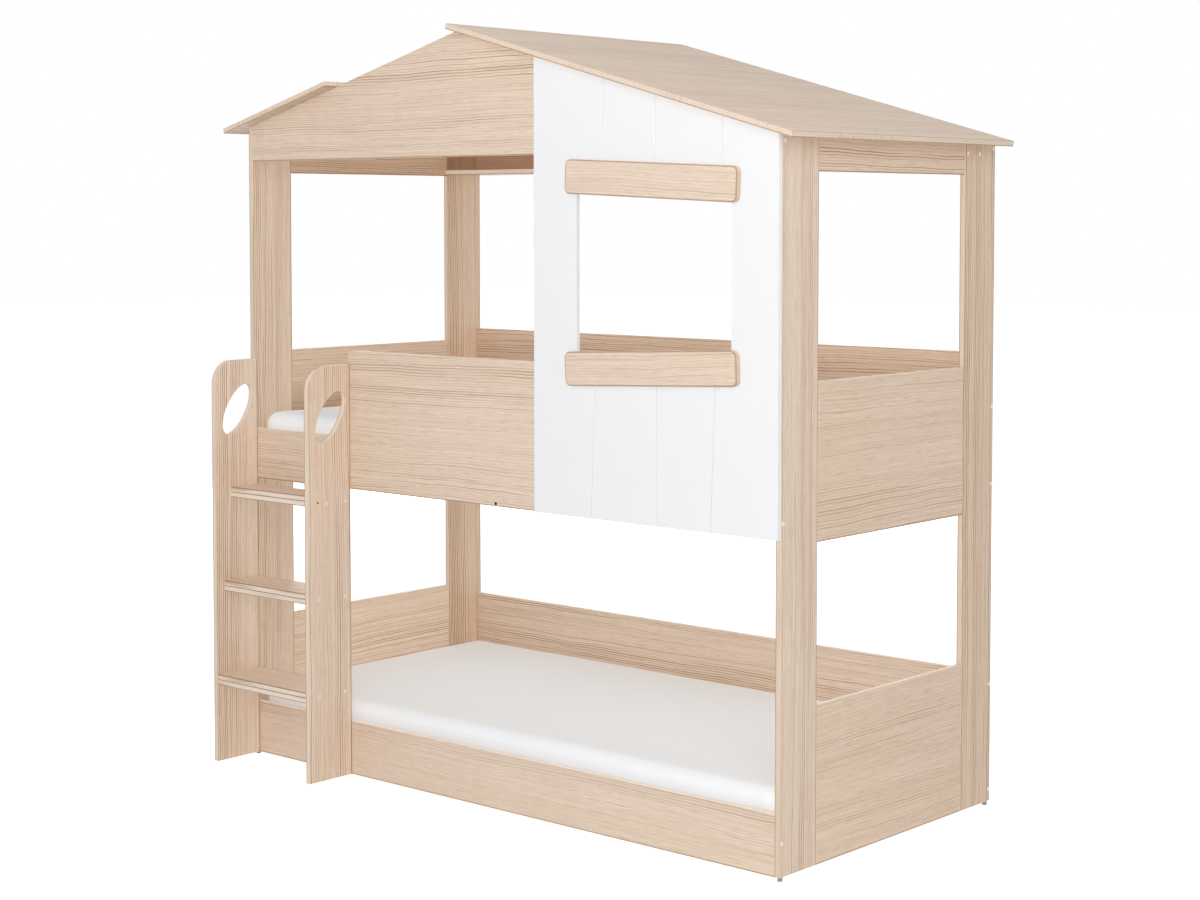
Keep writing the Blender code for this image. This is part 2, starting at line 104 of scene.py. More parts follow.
# Colours, linear. A wood has a light tone, a dark tone and the colour of its thin lines
OAK = ((0.880, 0.745, 0.620, 1.0), (0.650, 0.495, 0.370, 1.0), (0.385, 0.222, 0.122, 1.0))
# Palettes with painted light and shade in them, for the boards listed further down
OAK_IN_WARM_SHADE = ((0.870, 0.705, 0.552, 1.0), (0.620, 0.450, 0.315, 1.0), (0.350, 0.195, 0.105, 1.0))
OAK_IN_WARM_LIGHT = ((0.874, 0.721, 0.579, 1.0), (0.632, 0.468, 0.337, 1.0), (0.364, 0.206, 0.112, 1.0))
OAK_IN_STEP_SHADE = ((0.749, 0.556, 0.396, 1.0), (0.535, 0.358, 0.230, 1.0), (0.290, 0.155, 0.082, 1.0))
PINE = ((0.800, 0.660, 0.460, 1.0), (0.660, 0.490, 0.300, 1.0), (0.520, 0.340, 0.180, 1.0))
JOINT_PAINTED_SHADOW = (0.130, 0.070, 0.040, 1.0)
LACQUER = (0.862, 0.866, 0.879, 1.0)
LACQUER_SHADE = (0.830, 0.838, 0.860, 1.0)
GROOVE_SHADE = (0.420, 0.400, 0.370, 1.0)
COTTON = (0.922, 0.951, 0.985, 1.0)
COTTON_SHADE = (0.884, 0.913, 0.946, 1.0)
PLASTIC = (0.300, 0.280, 0.260, 1.0)
CAP_CREAM = (0.930, 0.900, 0.850, 1.0)
CAP_TAN = (0.840, 0.760, 0.670, 1.0)
PAINTED_HOLE_SHADOW = (0.020, 0.014, 0.010, 1.0)
FLOOR_TONE = (0.800, 0.800, 0.800, 1.0)
FLOOR_SHADE = (0.700, 0.700, 0.700, 1.0)
WHITE = (1.0, 1.0, 1.0, 1.0)

# Painted light and shade given to some boards as a palette of their own: a warmer, darker one for
# the boards inside the bed, for the shade and warm bounce light there, one halfway to it for the
# window end and the roof, for the warmer light on them, and a deeper one for painted shade on the
# steps
PAINTED_LIGHT_PALETTES = {
    "back_guard": OAK_IN_WARM_SHADE,
    "back_shelf": OAK_IN_WARM_SHADE,
    "left_back_post": OAK_IN_WARM_SHADE,
    "left_upper_guard": OAK_IN_WARM_SHADE,
    "right_back_post": OAK_IN_WARM_SHADE,
    "left_roof_panel": OAK_IN_WARM_LIGHT,
    "right_lower_panel": OAK_IN_WARM_LIGHT,
    "right_roof_panel": OAK_IN_WARM_LIGHT,
    "right_top_rail": OAK_IN_WARM_LIGHT,
    "right_upper_guard": OAK_IN_WARM_LIGHT,
    "lower_tread": OAK_IN_STEP_SHADE,
    "middle_tread": OAK_IN_STEP_SHADE,
    "upper_tread": OAK_IN_STEP_SHADE,
}
# Painted shade and painted light on the inner face of some boards, as tones that it is multiplied
# by:
# below 1 for painted shade near the shelf, the roof, the mattress and the back, above 1 for painted
# light. Each is whole up to its first height and gone from its second, or whole above the first and
# gone below the second if that is lower
PAINTED_INNER_LIGHT_AND_SHADE = {
    "back_gable": (((0.66, 0.50, 0.43, 1.0), 1.755, 1.930),),
    "back_guard": (((0.83, 0.785, 0.775, 1.0), 1.130, 1.275),),
    "ladder_left_stile": (((1.06, 1.08, 1.09, 1.0), 1.300, 1.350),),
    "left_back_post": (
        ((1.06, 1.06, 1.05, 1.0), 1.700, 1.740),
        ((0.63, 0.53, 0.48, 1.0), 1.752, 1.738),
    ),
    "left_lower_panel": (((1.12, 1.12, 1.11, 1.0), 0.600, 0.700),),
    "left_top_rail": (((0.89, 0.82, 0.74, 1.0), 2.200, 2.300),),
    "left_upper_guard": (((0.73, 0.67, 0.62, 1.0), 1.000, 1.130),),
}
# How far from a board's middle its inner face starts
INNER_FACE = (0.0060, 0.0070)
# The tone of the narrow sides, from the wood's light tone, 0, to its dark one, 1. Partly the edges'
# own tone, partly painted shade, darkest on the window trims
RIM_TONE = {
    "back_shelf": 0.0,
    "front_guard": 0.10,
    "ladder_left_stile": 0.30,
    "ladder_right_stile": 0.25,
    "left_back_post": 0.60,
    "left_front_post": 0.60,
    "lower_front_rail": 0.20,
    "lower_tread": 0.10,
    "lower_tread_backer": 0.05,
    "middle_tread": 0.10,
    "middle_tread_backer": 0.05,
    "right_back_post": 0.60,
    "right_front_post": 0.65,
    "upper_tread": 0.10,
    "upper_tread_backer": 0.05,
    "window_lintel_trim": 0.95,
    "window_sill_trim": 0.95,
}
RIM_TONE_PLAIN = 0.42
# How strongly the rings show, where it isn't 1
FIGURE = {
    "back_shelf": 1.6,
    "front_gable": 1.2,
    "ladder_left_stile": 1.1,
    "ladder_right_stile": 1.25,
    "left_back_post": 2.1,
    "left_roof_panel": 0.8,
    "lower_back_rail": 1.6,
    "lower_front_rail": 0.7,
    "right_back_post": 3.1,
    "right_front_post": 0.8,
    "right_lower_panel": 0.55,
    "right_roof_panel": 1.1,
    "right_top_rail": 1.2,
    "right_upper_guard": 0.65,
    "window_lintel_trim": 0.65,
    "window_sill_trim": 0.50,
}
# The front guard's rings show more towards its top
FIGURE_RISE = {"front_guard": (0.55, 1.30)}

# How the grain bends: noises with their stretch, detail, and reach across the board
GRAIN_BENDS = (
    ((0.9, 2.6, 2.6), 0.0, 0.030),
    ((4.2, 8.0, 8.0), 1.0, 0.013),
    ((19.0, 44.0, 44.0), 1.0, 0.0022),
)
# How far the grain moves across for each metre through the board
GRAIN_LEAN = 0.25

# The wood's noises: stretch along the grain, across it and through the board, then detail and
# roughness. The one along a ring isn't stretched
CROWDING_NOISE = ((0.10, 6.0, 1.0), 1.0)
RING_FADE_NOISE = (1.0, 2.0, 0.6)
RING_GROUP_NOISE = ((0.30, 5.5, 1.0), 1.0)
STREAK_NOISE = ((2.6, 230.0, 1.0), 2.0, 0.6)
FLECK_NOISE = ((26.0, 460.0, 1.0), 1.0)
BAND_NOISE = ((0.5, 22.0, 1.0), 2.0)
CLOUD_NOISE = ((0.9, 2.6, 2.6), 1.0)
PORE_NOISE = ((17.0, 620.0, 1.0), 1.0)
TICK_PATCH_NOISE = ((3.5, 9.0, 9.0), 1.0)
# How some of them show: the noise's values that this rises between, then the least and the most
RING_FADE_SPAN = (0.32, 0.58, 0.28, 1.0)
RING_GROUP_SPAN = (0.36, 0.62, 0.32, 1.0)
PORE_SPAN = (0.56, 0.72)
TICK_SPAN = (0.42, 0.74)
TICK_PATCH_SPAN = (0.44, 0.62, 0.22, 1.0)

# Growth rings. Their number wanders by the crowding, a line darkens over the rise and ends at the
# next ring, and each ring's strength is its own number to a power, times a share, plus the least
RING_SPACING = 0.0072
RING_CROWDING = 8.0
RING_RISE = (0.30, 0.84)
RING_SHARPNESS = 2.4
RING_CHOICE = 1.6
RING_SHARE = 0.85
RING_LEAST = 0.16
RING_DARKNESS = 1.80
# The noise on a ring: how fast it runs along the ring, and how far it lies from the next ring's
RING_FADE_RUN = (2.1, 7.31)

# What the wood's tone is made of, as shares of each noise, and the span that is used of the sum
TONE_START = -0.35
STREAK_SHARE = 0.85
FLECK_SHARE = 0.45
BAND_SHARE = 0.26
CLOUD_SHARE = 0.16
TONE_SPAN = (0.12, 0.88)
PORE_SHARE = 0.34
TICK_SHARE = 0.85
# The relief, how much of it a line and a pore take, and the roughness above and down in them
WOOD_RELIEF = 0.00012
LINE_DEPTH = 0.5
PORE_DEPTH = 0.6
WOOD_ROUGHNESS = 0.46
DEPTH_ROUGHNESS = 0.16
# The pattern on the narrow sides: its stretch on plain boards, and on the roof's end grain
BAND_PLAIN = (5.0, 60.0, 60.0)
BAND_TICKED = (230.0, 230.0, 30.0)

# The depths, from a face inwards, between which a board's narrow side starts
EDGE_DEPTH = (0.0002, 0.0008)
# The thin line of painted shade beside an arris and in the seams between boards, on a face and on a
# narrow side, with the depths between which it fades. A border without a line is moved out of
# reach, and on Z all places are inside
FACE_SHADE_LINE = (0.0026, 0.0040)
SIDE_SHADE_LINE = (0.0020, 0.0032)
SHADE_LINE_SHARE = 0.85
OUT_OF_REACH = 0.1
ALL_INSIDE = 1000.0
# Painted shadow in the joint between the two boards of a step
JOINT_WIDTH = 0.0016
JOINT_SHARE = 0.85

# The milled lines in the house front: where they start, how deep they go, and the painted shade in
# them
GROOVE_START = 0.0002
GROOVE_DEPTH = 0.0020
GROOVE_SHARE = 0.42
# The cotton's threads, and their unevenness
THREAD_SPACING = 0.0011
SLUB = 0.004

# Studio light: a room with pale walls and a dimmer ceiling, a softbox beside the camera, and two
# broad fills that cast no shadow, one above the camera and one behind the bed. A lamp has its
# name, place, aim, size and power
WALL_LIGHT = 0.70
CEILING_LIGHT = 0.15
WALL_TOP = 0.35
FLOOR_SIZE = 60.0
FLOOR_GLOW = 0.68
LAMPS = (
    ("camera_softbox", (4.7, -5.4, 3.8), (0.0, 0.0, 0.9), (5.0, 4.0), 45.0),
    ("front_fill", (3.8, -4.6, 4.4), (0.0, 0.0, 0.9), (5.0, 4.0), 240.0),
    ("back_fill", (-4.4, 5.0, 1.6), (0.0, 0.0, 0.9), (5.0, 3.0), 110.0),
)

# Mattress form. The cover's sides lie a little outside the CAD block
PAD_OUTSET = 0.006
PAD_CORNER = {"offset": 0.032, "segments": 6}
PAD_TOP_ROLL = {"offset": 0.034, "segments": 5}
PAD_BASE_ROLL = {"offset": 0.014, "segments": 3}
PAD_VOXEL = 0.015
# The middle of each side is drawn in, with what lies within a reach, long sides first
PAD_DRAW_IN = 0.005
PAD_DRAW_REACH = (0.85, 0.45)
PAD_MIDDLE_HALF = 0.02
# The top is lifted to a crown: its middle, up to so far lengthways and crossways from the centre,
# with what lies within a reach
PAD_CROWN = 0.006
PAD_CROWN_HALF = (0.6, 0.1)
PAD_CROWN_REACH = 0.45
# How near an arris, a side or the top of a mattress a place counts as on it
ARRIS_SKIN = 0.001
PAD_SKIN = 0.01
PAD_TOP_SKIN = 0.002

# The cover's inflation: as much pressure as a filled cover shows, over a few frames
PAD_PRESSURE = 4.0
PAD_MOVE_LIMIT = 0.0035
PAD_FRAMES = 20
COVER_CLOTH = {
    "quality": 5,
    "mass": 0.3,
    "tension_stiffness": 20.0,
    "compression_stiffness": 10.0,
    "shear_stiffness": 8.0,
    "bending_stiffness": 1.5,
    "use_pressure": True,
    "uniform_pressure_force": PAD_PRESSURE,
}

# Screw caps on the right end face, seen in the photograph: across the bed, then height. The left
# end has the same boards and fixings
END_CAPS = (
    (0.011, 1.779),
    (0.009, 0.866),
    (0.008, 0.093),
    (0.816, 1.764),
    (0.873, 1.763),
    (0.941, 1.779),
    (0.943, 1.086),
    (0.943, 0.877),
    (0.943, 0.332),
    (0.943, 0.043),
)
STILE_CAPS = (
    (-0.091, 0.794),
    (-0.019, 0.795),
    (-0.121, 0.525),
    (-0.022, 0.524),
    (-0.120, 0.254),
    (-0.024, 0.252),
)
# A pilot hole in the front guard (along the bed, then height), and a screw hole in each stile
GUARD_HOLE = (1.0056, 0.8346)
STILE_HOLE = (-0.1225, 0.7985)
CAP_RADIUS = 0.0050
CAP_HEIGHT = 0.0012
CAP_RIM = 0.0004
GUARD_HOLE_RADIUS = 0.0042
STILE_HOLE_RADIUS = 0.0026
HOLE_RIM = 0.0003
DISC_SIDES = 20
DISC_SKIN = 0.00001
SMOOTH_BELOW = math.radians(40)


# Node helpers


class Sheet:
    """A material's or a group's nodes, laid out from left to right as they are added."""

    def __init__(self, tree):
        self.tree = tree
        self.column = 0

    def add(self, kind, **values):
        node = self.tree.nodes.new(kind)
        node.location = (self.column * 180, 0)
        self.column += 1
        for name, value in values.items():
            setattr(node, name, value)
        return node

    def link(self, source, target):
        self.tree.links.new(source, target)

    def feed(self, target, value):
        """Sets a socket to a value, or links it to another socket."""
        if isinstance(value, bpy.types.NodeSocket):
            self.link(value, target)
        else:
            target.default_value = value

    def place(self):
        return self.add("ShaderNodeTexCoord").outputs["Object"]

    def parts(self, vector):
        node = self.add("ShaderNodeSeparateXYZ")
        self.link(vector, node.inputs[0])
        return node.outputs

    def joined(self, first, second):
        node = self.add("ShaderNodeCombineXYZ")
        self.link(first, node.inputs["X"])
        self.link(second, node.inputs["Y"])
        return node.outputs[0]

    def math(self, operation, first, second=0.0, third=0.0, clamp=False):
        node = self.add("ShaderNodeMath", operation=operation, use_clamp=clamp)
        for socket, value in zip(node.inputs, (first, second, third)):
            self.feed(socket, value)
        return node.outputs[0]

    def vectors(self, operation, first, second=None, output="Vector"):
        node = self.add("ShaderNodeVectorMath", operation=operation)
        self.feed(node.inputs[0], first)
        if second is not None:
            self.feed(node.inputs[1], second)
        return node.outputs[output]

    def stretch(self, vector, scale):
        return self.vectors("MULTIPLY", vector, scale)

    def noise(self, vector, scale, detail=2.0, roughness=0.5):
        """Noise. A scale with three numbers stretches it along each axis on its own."""
        if isinstance(scale, tuple):
            vector, scale = self.stretch(vector, scale), 1.0
        node = self.add("ShaderNodeTexNoise", noise_dimensions="3D")
        self.feed(node.inputs["Vector"], vector)
        node.inputs["Scale"].default_value = scale
        node.inputs["Detail"].default_value = detail
        node.inputs["Roughness"].default_value = roughness
        return node.outputs["Fac"]

    def span(self, value, low, high, new_low=0.0, new_high=1.0, smooth=True):
        """Maps a value from one span to another, without going past its ends."""
        kind = "SMOOTHSTEP" if smooth else "LINEAR"
        node = self.add("ShaderNodeMapRange", interpolation_type=kind)
        self.feed(node.inputs["Value"], value)
        node.inputs["From Min"].default_value = low
        node.inputs["From Max"].default_value = high
        node.inputs["To Min"].default_value = new_low
        node.inputs["To Max"].default_value = new_high
        return node.outputs["Result"]

    def mix(self, share, first, second, blend="MIX"):
        node = self.add("ShaderNodeMix", data_type="RGBA", blend_type=blend)
        self.feed(node.inputs["Factor"], share)
        self.feed(node.inputs[6], first)
        self.feed(node.inputs[7], second)
        return node.outputs[2]

    def bump(self, height, distance, strength=1.0):
        node = self.add("ShaderNodeBump")
        node.inputs["Strength"].default_value = strength
        node.inputs["Distance"].default_value = distance
        self.feed(node.inputs["Height"], height)
        return node.outputs["Normal"]

    def seen(self):
        """1 for rays straight from the camera, from a mirror or through glass, otherwise 0."""
        path = self.add("ShaderNodeLightPath").outputs
        seen = self.math("MAXIMUM", path["Is Camera Ray"], path["Is Glossy Ray"])
        return self.math("MAXIMUM", seen, path["Is Transmission Ray"])


def new_material(name):
    material = bpy.data.materials.new(name)
    material.use_nodes = True
    sheet = Sheet(material.node_tree)
    shader = material.node_tree.nodes["Principled BSDF"]
    return material, sheet, shader


def dress(obj, material):
    obj.data.materials.clear()
    obj.data.materials.append(material)


# Wood


def wood_grain_group():
    """Straight-grained wood. The vector runs along the grain on X, across the face on Y and
    through the board on Z.

    Edge is 1 on a board's narrow sides, which carry a plain band in the rim's colour. The seam
    input is 1 on thin lines of painted shade beside the arrises, standing in for the shade in the
    seams.
    """
    tree = bpy.data.node_groups.new("straight_grain", "ShaderNodeTree")
    for name, kind in (
        ("Vector", "Vector"),
        ("Light", "Color"),
        ("Dark", "Color"),
        ("Line", "Color"),
        ("Figure", "Float"),
        ("Edge", "Float"),
        ("Rim", "Color"),
        ("Seam", "Float"),
        ("Band", "Vector"),
    ):
        tree.interface.new_socket(name, in_out="INPUT", socket_type="NodeSocket" + kind)
    for name, kind in (("Color", "Color"), ("Height", "Float"), ("Roughness", "Float")):
        tree.interface.new_socket(name, in_out="OUTPUT", socket_type="NodeSocket" + kind)
    sheet = Sheet(tree)
    given = sheet.add("NodeGroupInput").outputs
    vector = given["Vector"]
    face = sheet.math("SUBTRACT", 1.0, given["Edge"])

    # The grain wanders slowly across the board, waves and trembles a little
    along, across, through = sheet.parts(vector)
    for scale, detail, reach in GRAIN_BENDS:
        across = sheet.math("MULTIPLY_ADD", sheet.noise(vector, scale, detail), reach, across)
    across = sheet.math("MULTIPLY_ADD", through, GRAIN_LEAN, across)
    grain = sheet.joined(along, across)

    # Growth rings: thin lines that crowd and spread, each with its own strength, fading along
    # its length
    crowd = sheet.noise(grain, *CROWDING_NOISE)
    even = sheet.math("DIVIDE", across, RING_SPACING)
    count = sheet.math("MULTIPLY_ADD", crowd, RING_CROWDING, even)
    part = sheet.math("FRACT", count)
    number = sheet.math("FLOOR", count)
    own = sheet.add("ShaderNodeTexWhiteNoise", noise_dimensions="1D")
    sheet.link(number, own.inputs["W"])
    run, apart = RING_FADE_RUN
    on_ring = sheet.joined(
        sheet.math("MULTIPLY", along, run),
        sheet.math("MULTIPLY", number, apart),
    )
    fade = sheet.span(sheet.noise(on_ring, *RING_FADE_NOISE), *RING_FADE_SPAN)
    start, darkest = RING_RISE
    rise = sheet.span(part, start, darkest, smooth=False)
    rise = sheet.math("POWER", rise, RING_SHARPNESS)
    line = sheet.math("MULTIPLY", rise, sheet.span(part, darkest, 1.0, 1.0, 0.0))
    bold = sheet.math("POWER", own.outputs["Value"], RING_CHOICE)
    bold = sheet.math("MULTIPLY_ADD", bold, RING_SHARE, RING_LEAST)
    strength = sheet.math("MULTIPLY", bold, fade)
    groups = sheet.span(sheet.noise(grain, *RING_GROUP_NOISE), *RING_GROUP_SPAN)
    lines = sheet.math("MULTIPLY", line, sheet.math("MULTIPLY", strength, groups))
    lines = sheet.math("MULTIPLY", lines, sheet.math("MULTIPLY", given["Figure"], face))

    # Fine streaks, broad bands and clouds between them, and short pores
    streaks = sheet.noise(grain, *STREAK_NOISE)
    flecks = sheet.noise(grain, *FLECK_NOISE)
    bands = sheet.noise(grain, *BAND_NOISE)
    clouds = sheet.noise(vector, *CLOUD_NOISE)
    pores = sheet.span(sheet.noise(grain, *PORE_NOISE), *PORE_SPAN)
    pores = sheet.math("MULTIPLY", pores, face)

    tone = sheet.math("MULTIPLY_ADD", streaks, STREAK_SHARE, TONE_START)
    tone = sheet.math("MULTIPLY_ADD", flecks, FLECK_SHARE, tone)
    tone = sheet.math("MULTIPLY_ADD", bands, BAND_SHARE, tone)
    tone = sheet.math("MULTIPLY_ADD", clouds, CLOUD_SHARE, tone)
    tone = sheet.span(tone, *TONE_SPAN, smooth=False)
    color = sheet.mix(tone, given["Light"], given["Dark"])
    shown = sheet.math("MULTIPLY", lines, RING_DARKNESS, clamp=True)
    color = sheet.mix(shown, color, given["Line"])
    color = sheet.mix(sheet.math("MULTIPLY", pores, PORE_SHARE), color, given["Line"])

    # The band on the narrow sides: pale, with fine ticks in places
    ticks = sheet.span(sheet.noise(given["Band"], 1.0, 1.0), *TICK_SPAN)
    patches = sheet.span(sheet.noise(vector, *TICK_PATCH_NOISE), *TICK_PATCH_SPAN)
    ticks = sheet.math("MULTIPLY", sheet.math("MULTIPLY", ticks, patches), TICK_SHARE)
    color = sheet.mix(given["Edge"], color, sheet.mix(ticks, given["Rim"], given["Dark"]))
    # Painted shade in the seams and along the arrises
    color = sheet.mix(sheet.math("MULTIPLY", given["Seam"], SHADE_LINE_SHARE), color, given["Line"])

    depth = sheet.math("MULTIPLY", pores, PORE_DEPTH)
    depth = sheet.math("MULTIPLY_ADD", lines, LINE_DEPTH, depth)
    rough = sheet.math("MULTIPLY_ADD", depth, DEPTH_ROUGHNESS, WOOD_ROUGHNESS)
    out = sheet.add("NodeGroupOutput").inputs
    sheet.link(color, out["Color"])
    sheet.link(sheet.math("SUBTRACT", 1.0, depth), out["Height"])
    sheet.link(rough, out["Roughness"])
    return tree


WOOD_GRAIN = wood_grain_group()


def grain_turn(low, high, run, tilt):
    """The turn that takes a board's grain to X, its face to Y and its thickness to Z."""
    size = high - low
    axes = {"x": Vector((1, 0, 0)), "y": Vector((0, 1, 0)), "z": Vector((0, 0, 1))}
    along = axes.pop(run)
    through, across = sorted(axes.values(), key=lambda axis: abs(size.dot(axis)))
    if along.cross(across).dot(through) < 0:
        through = -through
    turn = Matrix((along, across, through))
    return (turn @ Matrix.Rotation(tilt, 3, "Y")).to_euler()


def grain_offset(number):
    """Far enough along the grain, and across it, that no two boards show the same piece."""
    return Vector((1.37 * number, 0.61 * number, 0.23 * number))


class Board:
    """A flat board: which way its grain runs and its faces look, and where its lines are."""

    def __init__(self, name, number, run):
        self.name = name
        self.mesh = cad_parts[name].data
        self.turn = grain_turn(*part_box(name), run, TRIM_TILTS.get(name, 0.0))
        self.offset = grain_offset(number)
        self.through = max(self.mesh.polygons, key=lambda face: face.area).normal.copy()
        if max(self.through, key=abs) < 0:
            self.through.negate()
        self.near, self.far = self.span_along(lambda place: place.dot(self.through))
        self.axis = max(range(3), key=lambda axis: abs(self.through[axis]))

    def span_along(self, measure):
        lengths = [measure(vert.co) for vert in self.mesh.vertices]
        return min(lengths), max(lengths)

    def face_borders(self):
        """Which borders of the faces carry the painted shade line: the ends of the grain, then the
        sides.
        """
        if self.name in TRIM_TILTS:
            return True, True, True, True
        if self.name.endswith("_roof_panel"):
            return False, True, True, True
        if self.axis == 2:
            return False, False, True, True
        if self.name in GRAIN_ALONG_Z:
            return False, False, False, True
        return False, False, True, False

    def side_lines(self):
        """Whether the narrow sides carry painted shade beside the near face and beside the far one.
        """
        if self.name in TRIM_TILTS:
            return True, True
        if self.axis == 1 or self.name.endswith("_tread"):
            return False, True
        return True, False

    def joint(self):
        """The height of a step's joint, and the side of it that carries the painted shadow."""
        low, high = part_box(self.name)
        if self.name.endswith("_tread"):
            return low.z, 1.0
        if self.name.endswith("_backer"):
            return high.z, -1.0
        return None


def arris_shade_lines(sheet, board, mapped, depth):
    """Where a board's narrow sides are, and its thin lines of painted shade: along some borders of
    its faces and beside its narrow sides' arrises."""
    from_near = sheet.math("SUBTRACT", depth, board.near)
    from_far = sheet.math("SUBTRACT", board.far, depth)
    edge = sheet.span(sheet.math("MINIMUM", from_near, from_far), *EDGE_DEPTH)

    corner = TRIM_CORNER if board.name in TRIM_TILTS else BOARD_CORNER
    turn = board.turn.to_matrix()
    low, high = Vector(), Vector()
    borders = board.face_borders()
    for axis in range(2):
        ends = board.span_along(lambda place: (turn @ place)[axis] + board.offset[axis])
        low[axis], high[axis] = ends
        lined_low, lined_high = borders[2 * axis : 2 * axis + 2]
        low[axis] -= 0.0 if lined_low else OUT_OF_REACH
        high[axis] += 0.0 if lined_high else OUT_OF_REACH
    room = (high - low) / 2 - Vector((corner, corner, -ALL_INSIDE))
    away = sheet.vectors("ABSOLUTE", sheet.vectors("SUBTRACT", mapped, (low + high) / 2))
    past = sheet.vectors("MAXIMUM", sheet.vectors("SUBTRACT", away, room), (0.0, 0.0, 0.0))
    border = sheet.math("SUBTRACT", corner, sheet.vectors("LENGTH", past, output="Value"))
    on_face = sheet.math("SUBTRACT", 1.0, edge)
    lines = sheet.math("MULTIPLY", sheet.span(border, *FACE_SHADE_LINE, 1.0, 0.0), on_face)

    for lined, inwards in zip(board.side_lines(), (from_near, from_far)):
        if lined:
            line = sheet.math("MULTIPLY", sheet.span(inwards, *SIDE_SHADE_LINE, 1.0, 0.0), edge)
            lines = sheet.math("MAXIMUM", lines, line)
    return edge, lines


def wood(board, colors):
    """A board's material. The mapping lays the board's length along X and takes it to its own
    piece of grain."""
    material, sheet, shader = new_material(board.name + "_wood")
    place = sheet.place()
    height = sheet.parts(place)["Z"]
    mapping = sheet.add("ShaderNodeMapping", vector_type="POINT")
    mapping.inputs["Rotation"].default_value = board.turn
    mapping.inputs["Location"].default_value = board.offset
    sheet.link(place, mapping.inputs["Vector"])
    mapped = mapping.outputs[0]

    grain = sheet.add("ShaderNodeGroup", node_tree=WOOD_GRAIN)
    sheet.link(mapped, grain.inputs["Vector"])
    # All oak has the plain oak's narrow sides, whatever palette of painted light its faces carry
    light, dark, _ = PINE if colors == PINE else OAK
    rim = Vector(light).lerp(Vector(dark), RIM_TONE.get(board.name, RIM_TONE_PLAIN))
    for socket, color in zip(("Light", "Dark", "Line", "Rim"), (*colors, rim)):
        grain.inputs[socket].default_value = color
    figure = FIGURE.get(board.name, 1.0)
    if board.name in FIGURE_RISE:
        low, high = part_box(board.name)
        figure = sheet.span(height, low.z, high.z, *FIGURE_RISE[board.name], smooth=False)
    sheet.feed(grain.inputs["Figure"], figure)
    band = BAND_TICKED if board.name.endswith("_roof_panel") else BAND_PLAIN
    sheet.link(sheet.stretch(mapped, band), grain.inputs["Band"])
    depth = sheet.vectors("DOT_PRODUCT", place, board.through, output="Value")
    edge, lines = arris_shade_lines(sheet, board, mapped, depth)
    sheet.link(edge, grain.inputs["Edge"])
    sheet.link(lines, grain.inputs["Seam"])
    color = grain.outputs["Color"]

    middle = (board.near + board.far) / 2
    to_bed = 1.0 if middle < 0.0 else -1.0
    # Painted shade and painted light on the inner face, fading out with height
    for tone, whole, gone in PAINTED_INNER_LIGHT_AND_SHADE.get(board.name, ()):
        inwards = sheet.math("MULTIPLY", sheet.math("SUBTRACT", depth, middle), to_bed)
        shown = sheet.span(inwards, *INNER_FACE)
        shown = sheet.math("MULTIPLY", shown, sheet.span(height, whole, gone, 1.0, 0.0))
        color = sheet.mix(shown, color, tone, blend="MULTIPLY")
    # Painted shadow along the joint between a step's two boards
    if board.joint():
        seat, side = board.joint()
        away = sheet.math("MULTIPLY", sheet.math("SUBTRACT", height, seat), side)
        shown = sheet.span(away, 0.0, JOINT_WIDTH, JOINT_SHARE, 0.0)
        color = sheet.mix(shown, color, JOINT_PAINTED_SHADOW)
    sheet.link(color, shader.inputs["Base Color"])
    sheet.link(grain.outputs["Roughness"], shader.inputs["Roughness"])
    sheet.link(sheet.bump(grain.outputs["Height"], WOOD_RELIEF), shader.inputs["Normal"])
    return material


def dress_boards():
    runs = dict.fromkeys(GRAIN_ALONG_X, "x")
    runs.update(dict.fromkeys(GRAIN_ALONG_Y, "y"))
    runs.update(dict.fromkeys(GRAIN_ALONG_Z, "z"))
    for number, name in enumerate(sorted(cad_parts)):
        if name in runs:
            # Boards inside the bed, on the window end, on the roof and on the steps get a painted
            # light palette
            colors, run = PAINTED_LIGHT_PALETTES.get(name, OAK), runs[name]
        elif "slat_rail" in name:
            colors, run = PINE, "x"
        elif "_slat_" in name:
            colors, run = PINE, "y"
        else:
            continue
        dress(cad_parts[name], wood(Board(name, number, run), colors))


# White lacquer, cotton and plastic


def white_lacquer(front):
    """Satin white paint, with painted shade down in the milled lines and along the first two
    millimetres of the sides behind the front face.
    """
    material, sheet, shader = new_material("white_lacquer")
    place = sheet.place()
    cloud = sheet.noise(place, 2.5, 1.0)
    color = sheet.mix(sheet.math("MULTIPLY", cloud, 0.05), LACQUER, LACQUER_SHADE)
    # Painted shade from just behind the front face down to the bottom of the milled lines
    depth = sheet.math("SUBTRACT", sheet.parts(place)["Y"], front)
    milled = sheet.span(depth, GROOVE_START, GROOVE_DEPTH / 2)
    behind = sheet.span(depth, GROOVE_DEPTH, 1.2 * GROOVE_DEPTH, GROOVE_SHARE, 0.0)
    color = sheet.mix(sheet.math("MULTIPLY", milled, behind), color, GROOVE_SHADE)
    sheet.link(color, shader.inputs["Base Color"])
    dust = sheet.noise(place, 420.0)
    sheet.link(sheet.math("MULTIPLY_ADD", dust, 0.14, 0.33), shader.inputs["Roughness"])
    sheet.link(sheet.bump(sheet.noise(place, 260.0), 0.00006), shader.inputs["Normal"])
    return material


